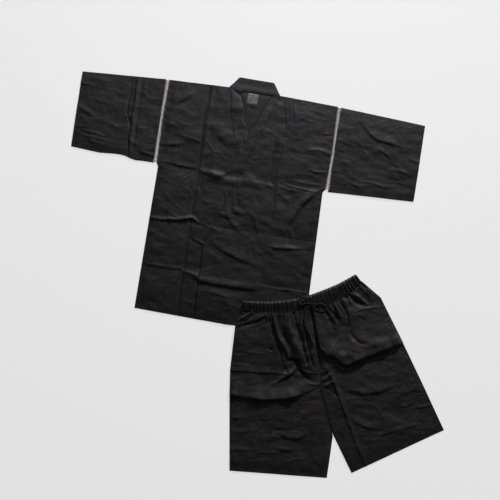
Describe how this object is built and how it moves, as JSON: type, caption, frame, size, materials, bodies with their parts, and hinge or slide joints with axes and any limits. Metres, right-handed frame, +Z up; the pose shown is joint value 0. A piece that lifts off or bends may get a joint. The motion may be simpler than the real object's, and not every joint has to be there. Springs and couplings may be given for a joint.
{
  "type": "jinbei set laid flat",
  "caption": "Short summer jacket with crossed front and open-laced sleeves, laid flat, with gathered drawstring shorts over its lower hem.",
  "frame": {"origin": "on the surface that the set lies on, under the middle of its box", "axes": "+Y along the jacket's centre line towards the collar, +X to the viewer's right, +Z up from the surface"},
  "size_m": [1.3664, 1.296, 0.0225],
  "materials": {
    "cloth": "black slub-weave cotton and linen, matte",
    "lacing": "natural twisted cotton thread",
    "label": "light grey woven tape, bare",
    "tab": "black woven tape, bare",
    "drawstring": "black braided cotton cord"
  },
  "bodies": {
    "root": {"back": "cloth", "front_under": "cloth", "front_over": "cloth", "collar_under": "cloth", "collar_over": "cloth", "sleeve_left": "cloth", "sleeve_right": "cloth", "lacing_left_back": "lacing", "lacing_left_front": "lacing", "lacing_right_back": "lacing", "lacing_right_front": "lacing", "neck_label": "label", "size_tab": "tab", "leg_back_left": "cloth", "leg_front_left": "cloth", "leg_back_right": "cloth", "leg_front_right": "cloth", "waistband_back": "cloth", "waistband_front": "cloth", "drawstring_knot": "drawstring", "drawstring_loop_left": "drawstring", "drawstring_loop_right": "drawstring", "drawstring_tail_left": "drawstring", "drawstring_tail_right": "drawstring"}
  },
  "joints": []
}
